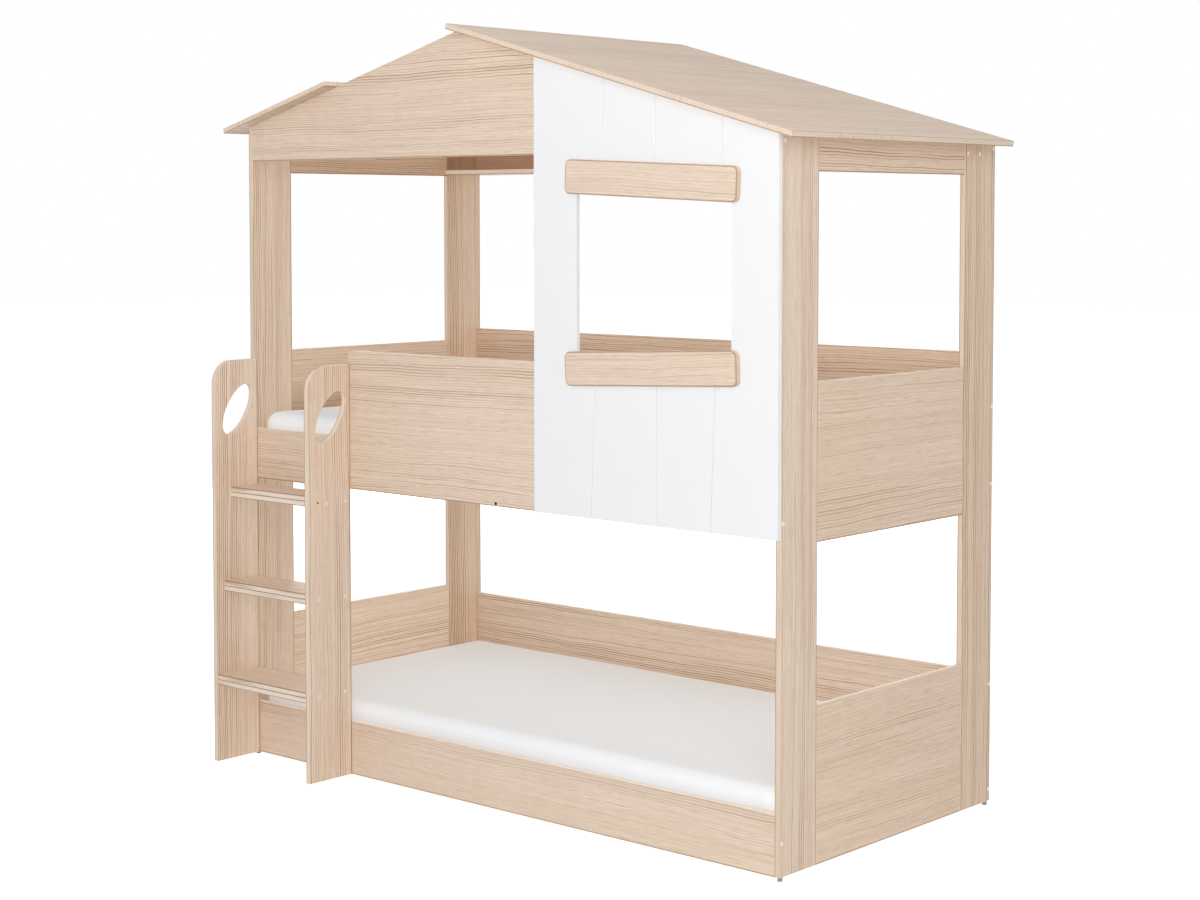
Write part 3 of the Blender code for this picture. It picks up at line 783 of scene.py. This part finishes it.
def cotton():
    """A fine plain weave: threads both ways, with a little slub and pale shading between them."""
    material, sheet, shader = new_material("white_cotton")
    place = sheet.place()
    parts = sheet.parts(place)
    slub = sheet.noise(place, (8.0, 8.0, 8.0))
    threads = []
    for axis in ("X", "Y"):
        run = sheet.math("MULTIPLY_ADD", slub, SLUB, parts[axis])
        run = sheet.math("MULTIPLY", run, math.tau / THREAD_SPACING)
        threads.append(sheet.math("SINE", run))
    weave = sheet.math("MULTIPLY_ADD", sheet.math("MULTIPLY", *threads), 0.5, 0.5)
    wear = sheet.noise(place, 5.0)
    color = sheet.mix(sheet.math("MULTIPLY", wear, 0.25), COTTON, COTTON_SHADE)
    color = sheet.mix(sheet.math("MULTIPLY", weave, 0.12), color, COTTON_SHADE)
    sheet.link(color, shader.inputs["Base Color"])
    shader.inputs["Roughness"].default_value = 0.9
    shader.inputs["Sheen Weight"].default_value = 0.15
    shader.inputs["Sheen Roughness"].default_value = 0.5
    soft = sheet.noise(place, 9.0, 3.0, 0.55)
    height = sheet.math("ADD", sheet.math("MULTIPLY", weave, 0.10), soft)
    sheet.link(sheet.bump(height, 0.0015, 0.35), shader.inputs["Normal"])
    return material


def moulded_plastic(name, color, roughness=0.45, shine=0.5):
    material, sheet, shader = new_material(name)
    grain = sheet.noise(sheet.place(), 900.0)
    darker = tuple(0.8 * part for part in color[:3]) + (1.0,)
    tone = sheet.mix(sheet.math("MULTIPLY", grain, 0.5), color, darker)
    sheet.link(tone, shader.inputs["Base Color"])
    gloss = sheet.math("MULTIPLY_ADD", grain, 0.2, roughness - 0.1)
    sheet.link(gloss, shader.inputs["Roughness"])
    sheet.link(sheet.bump(grain, 0.00005), shader.inputs["Normal"])
    shader.inputs["Specular IOR Level"].default_value = shine
    return material


def dress_frame():
    dress_boards()
    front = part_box("facade_panel")[0].y
    dress(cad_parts["facade_panel"], white_lacquer(front))
    glide_plastic = moulded_plastic("grey_glide_plastic", PLASTIC)
    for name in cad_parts:
        if name.endswith("_glide"):
            dress(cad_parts[name], glide_plastic)


# Studio


def floor():
    """Pale paper that keeps the shadow and glows a little to the camera, up to white."""
    bpy.ops.object.select_all(action="DESELECT")
    bpy.ops.mesh.primitive_plane_add(size=FLOOR_SIZE, location=(0.0, 0.0, 0.0))
    paper = bpy.context.object
    paper.name = "studio_floor"
    material, sheet, shader = new_material("studio_floor_paper")
    cloud = sheet.math("MULTIPLY", sheet.noise(sheet.place(), 3.0), 0.06)
    sheet.link(sheet.mix(cloud, FLOOR_TONE, FLOOR_SHADE), shader.inputs["Base Color"])
    shader.inputs["Roughness"].default_value = 0.9
    shader.inputs["Specular IOR Level"].default_value = 0.1
    glow = sheet.add("ShaderNodeEmission")
    glow.inputs["Color"].default_value = WHITE
    sheet.link(sheet.math("MULTIPLY", sheet.seen(), FLOOR_GLOW), glow.inputs["Strength"])
    both = sheet.add("ShaderNodeAddShader")
    sheet.link(shader.outputs[0], both.inputs[0])
    sheet.link(glow.outputs[0], both.inputs[1])
    sheet.link(both.outputs[0], material.node_tree.nodes["Material Output"].inputs["Surface"])
    dress(paper, material)


def room_light():
    """A white background to the camera, and a dimmer room to the bed."""
    world = bpy.data.worlds.new("studio_world")
    bpy.context.scene.world = world
    world.use_nodes = True
    sheet = Sheet(world.node_tree)
    background = world.node_tree.nodes["Background"]
    background.inputs["Color"].default_value = WHITE
    way_up = sheet.parts(sheet.add("ShaderNodeTexCoord").outputs["Generated"])["Z"]
    room = sheet.span(way_up, WALL_TOP, 1.0, WALL_LIGHT, CEILING_LIGHT)
    sheet.link(sheet.math("MAXIMUM", sheet.seen(), room), background.inputs["Strength"])


def lamps():
    for name, place, aim, size, power in LAMPS:
        lamp = bpy.data.lights.new(name, "AREA")
        lamp.shape = "RECTANGLE"
        lamp.size, lamp.size_y = size
        lamp.energy = power
        lamp.use_shadow = not name.endswith("_fill")
        obj = bpy.data.objects.new(name, lamp)
        obj.location = place
        way = Vector(aim) - Vector(place)
        obj.rotation_euler = way.to_track_quat("-Z", "Y").to_euler()
        bpy.context.scene.collection.objects.link(obj)


def camera():
    data = bpy.data.cameras.new("photo_camera")
    data.lens = CAMERA_LENS
    data.sensor_width = CAMERA_SENSOR
    data.shift_x, data.shift_y = CAMERA_SHIFT
    data.clip_end = CAMERA_REACH
    obj = bpy.data.objects.new("photo_camera", data)
    obj.location = CAMERA_PLACE
    obj.rotation_euler = (CAMERA_PITCH, 0.0, CAMERA_YAW)
    bpy.context.scene.collection.objects.link(obj)
    bpy.context.scene.camera = obj


def studio():
    bpy.context.scene.view_settings.view_transform = "Standard"
    floor()
    room_light()
    lamps()
    camera()


# Modelling helpers


def settle(piece):
    """Puts the piece's place, turn and size into its mesh, with its origin at the world's."""
    bpy.ops.object.select_all(action="DESELECT")
    piece.select_set(True)
    bpy.context.view_layer.objects.active = piece
    bpy.ops.object.transform_apply(location=True, rotation=True, scale=True)


def pick(piece, kind, test):
    """Selects, in edit mode, the vertices, edges or faces whose every place passes the test."""
    bpy.ops.object.mode_set(mode="OBJECT")
    mesh = piece.data
    for part in (*mesh.vertices, *mesh.edges, *mesh.polygons):
        part.select = False
    for part in getattr(mesh, kind):
        if kind == "vertices":
            places = [part.co]
        else:
            places = [mesh.vertices[index].co for index in part.vertices]
        if all(test(place) for place in places):
            part.select = True
    bpy.ops.object.mode_set(mode="EDIT")
    modes = {"vertices": "VERT", "edges": "EDGE", "polygons": "FACE"}
    bpy.ops.mesh.select_mode(type=modes[kind])


def pull(value, reach):
    """Moves what is picked, and what lies round it within the reach, less and less."""
    bpy.ops.transform.translate(
        value=value,
        use_proportional_edit=True,
        proportional_edit_falloff="SMOOTH",
        proportional_size=reach,
    )


def copy_of(form, name):
    """A copy of a form with its own mesh."""
    piece = bpy.data.objects.new(name, form.data.copy())
    bpy.context.scene.collection.objects.link(piece)
    return piece


# Mattresses


def foam_block(low, high):
    """A block with rounded upright corners and a roll along its top and bottom arrises."""
    size = high - low + 2 * Vector((PAD_OUTSET, PAD_OUTSET, PAD_OUTSET))
    size.z = high.z - low.z - PAD_CROWN
    middle = (low + high) / 2
    middle.z = low.z + size.z / 2
    bpy.ops.object.select_all(action="DESELECT")
    bpy.ops.mesh.primitive_cube_add(size=1.0, location=middle)
    pad = bpy.context.object
    pad.name = "mattress_form"
    pad.scale = size
    settle(pad)

    bpy.ops.object.mode_set(mode="EDIT")
    bpy.ops.mesh.select_mode(type="EDGE")
    bpy.ops.object.mode_set(mode="OBJECT")
    for edge in pad.data.edges:
        one, two = (pad.data.vertices[index].co for index in edge.vertices)
        edge.select = abs(one.z - two.z) > size.z / 2
    for part in (*pad.data.vertices, *pad.data.polygons):
        part.select = False
    bpy.ops.object.mode_set(mode="EDIT")
    bpy.ops.mesh.bevel(**PAD_CORNER)
    top = low.z + size.z
    pick(pad, "edges", lambda place: place.z > top - ARRIS_SKIN)
    bpy.ops.mesh.bevel(**PAD_TOP_ROLL)
    pick(pad, "edges", lambda place: place.z < low.z + ARRIS_SKIN)
    bpy.ops.mesh.bevel(**PAD_BASE_ROLL)
    bpy.ops.object.mode_set(mode="OBJECT")
    return pad, middle, size


def mattress_form(low, high):
    """A foam block in its cotton cover: rounded corners, a soft roll all round, a low crown and
    drawn-in sides."""
    pad, middle, size = foam_block(low, high)
    top, base = low.z + size.z, low.z
    remesh = pad.modifiers.new("even_skin", "REMESH")
    remesh.mode = "VOXEL"
    remesh.voxel_size = PAD_VOXEL
    bpy.ops.object.modifier_apply(modifier="even_skin")

    def side_middle(along, across, side):
        """The middle of a side: near the mattress' middle along it, and at the skin across it."""
        skin = size[across] / 2 - PAD_SKIN

        def test(place):
            near = abs(place[along] - middle[along]) < PAD_MIDDLE_HALF
            return near and (place[across] - middle[across]) * side > skin

        return test

    for side in (-1, 1):
        pick(pad, "vertices", side_middle(0, 1, side))
        pull((0.0, -side * PAD_DRAW_IN, 0.0), PAD_DRAW_REACH[0])
        pick(pad, "vertices", side_middle(1, 0, side))
        pull((-side * PAD_DRAW_IN, 0.0, 0.0), PAD_DRAW_REACH[1])

    def crown(place):
        along, across = abs(place.x - middle.x), abs(place.y - middle.y)
        near = along < PAD_CROWN_HALF[0] and across < PAD_CROWN_HALF[1]
        return near and place.z > top - PAD_TOP_SKIN

    pick(pad, "vertices", crown)
    pull((0.0, 0.0, PAD_CROWN), PAD_CROWN_REACH)
    pick(pad, "vertices", lambda place: place.z < base + PAD_CROWN + PAD_TOP_SKIN)
    bpy.ops.transform.resize(value=(1.0, 1.0, 0.0), center_override=(middle.x, middle.y, base))
    bpy.ops.object.mode_set(mode="OBJECT")
    fill_with_air(pad, base)
    soften = pad.modifiers.new("smooth_skin", "SUBSURF")
    soften.levels = 1
    bpy.ops.object.modifier_apply(modifier="smooth_skin")
    bpy.ops.object.shade_smooth()
    return pad


def fill_with_air(pad, base):
    """Swells the cover by a little pressure. The underside stays flat on the slats."""
    resting = pad.vertex_groups.new(name="resting_side")
    low = [vert.index for vert in pad.data.vertices if vert.co.z < base + PAD_VOXEL / 2]
    resting.add(low, 1.0, "ADD")
    before = [vert.co.copy() for vert in pad.data.vertices]
    cover = pad.modifiers.new("cover", "CLOTH")
    for name, value in COVER_CLOTH.items():
        setattr(cover.settings, name, value)
    cover.settings.vertex_group_mass = resting.name
    cover.settings.effector_weights.gravity = 0.0
    cover.point_cache.frame_start = 1
    cover.point_cache.frame_end = PAD_FRAMES
    for number in range(1, PAD_FRAMES + 1):
        bpy.context.scene.frame_set(number)
    bpy.ops.object.modifier_apply(modifier="cover")
    for vert, start in zip(pad.data.vertices, before):
        move = vert.co - start
        if move.length > PAD_MOVE_LIMIT:
            vert.co = start + move * (PAD_MOVE_LIMIT / move.length)
    bpy.context.scene.frame_set(1)


def mattresses():
    """Lays a copy of one mattress form on the slats of each level."""
    cloth = cotton()
    form_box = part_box("upper_mattress")
    form = mattress_form(*form_box)
    for level in ("upper", "lower"):
        node = level + "_mattress"
        pad = copy_of(form, node + "_pad")
        pad.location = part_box(node)[0] - form_box[0]
        settle(pad)
        dress(pad, cloth)
        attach(pad, node)
        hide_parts(node)
    bpy.data.objects.remove(form)


# Screw caps and holes


def disc(name, radius, depth):
    """A new flat disc that stands on the world's origin."""
    bpy.ops.object.select_all(action="DESELECT")
    bpy.ops.mesh.primitive_cylinder_add(
        vertices=DISC_SIDES, radius=radius, depth=depth, location=(0.0, 0.0, depth / 2)
    )
    piece = bpy.context.object
    piece.name = name
    settle(piece)
    return piece


def cap_form():
    """A press-in screw cap, pointing up: a low disc with a rounded rim and a shallow dished top."""
    cap = disc("screw_cap_form", CAP_RADIUS, CAP_HEIGHT)
    pick(cap, "polygons", lambda place: place.z > CAP_HEIGHT - DISC_SKIN)
    bpy.ops.mesh.inset(thickness=CAP_RIM * 2, depth=0.0)
    bpy.ops.transform.translate(value=(0.0, 0.0, -CAP_RIM / 2))
    pick(cap, "edges", lambda place: place.z > CAP_HEIGHT - DISC_SKIN)
    bpy.ops.mesh.bevel(offset=CAP_RIM, segments=2)
    bpy.ops.object.mode_set(mode="OBJECT")
    bpy.ops.object.shade_smooth_by_angle(angle=SMOOTH_BELOW)
    return cap


def hole_form(name, radius):
    """The mouth of a small drilled hole, pointing up: a thin burr round a dished middle, both worn
    as a painted shadow of the hole's dark inside.
    """
    hole = disc(name, radius, HOLE_RIM)
    pick(hole, "polygons", lambda place: place.z > HOLE_RIM - DISC_SKIN)
    bpy.ops.mesh.inset(thickness=HOLE_RIM, depth=0.0)
    bpy.ops.transform.translate(value=(0.0, 0.0, -HOLE_RIM / 2))
    bpy.ops.object.mode_set(mode="OBJECT")
    bpy.ops.object.shade_smooth_by_angle(angle=SMOOTH_BELOW)
    return hole


def place_fitting(name, form, turn, place, material):
    fitting = copy_of(form, name)
    fitting.location = place
    fitting.rotation_euler = turn
    settle(fitting)
    dress(fitting, material)
    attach(fitting, "frame")


def screw_caps_and_holes():
    cap = cap_form()
    stile_hole = hole_form("stile_hole_form", STILE_HOLE_RADIUS)
    guard_hole = hole_form("guard_hole_form", GUARD_HOLE_RADIUS)
    cream = moulded_plastic("cream_cap_plastic", CAP_CREAM)
    tan = moulded_plastic("tan_cap_plastic", CAP_TAN)
    # The holes' discs are a painted shadow of the dark inside of each hole
    dark = moulded_plastic("hole_shadow", PAINTED_HOLE_SHADOW, 0.8, 0.05)
    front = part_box("right_front_post")[0].y
    quarter = math.radians(90)

    for side, outer, way in (("left", 0, -1), ("right", 1, 1)):
        turn = (0.0, way * quarter, 0.0)
        end_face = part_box(side + "_front_post")[outer].x
        stile_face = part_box(f"ladder_{side}_stile")[outer].x
        for number, (across, height) in enumerate(END_CAPS, 1):
            place = (end_face, front + across, height)
            place_fitting(f"{side}_end_cap_{number}", cap, turn, place, cream)
        for number, (across, height) in enumerate(STILE_CAPS, 1):
            place = (stile_face, front + across, height)
            place_fitting(f"{side}_stile_cap_{number}", cap, turn, place, tan)
        across, height = STILE_HOLE
        place = (stile_face, front + across, height)
        place_fitting(f"{side}_stile_hole", stile_hole, turn, place, dark)

    along, height = GUARD_HOLE
    place = (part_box("left_front_post")[0].x + along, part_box("front_guard")[0].y, height)
    turn = (quarter, 0.0, 0.0)
    place_fitting("front_guard_hole", guard_hole, turn, place, dark)
    for form in (cap, stile_hole, guard_hole):
        bpy.data.objects.remove(form)


studio()
dress_frame()
mattresses()
screw_caps_and_holes()
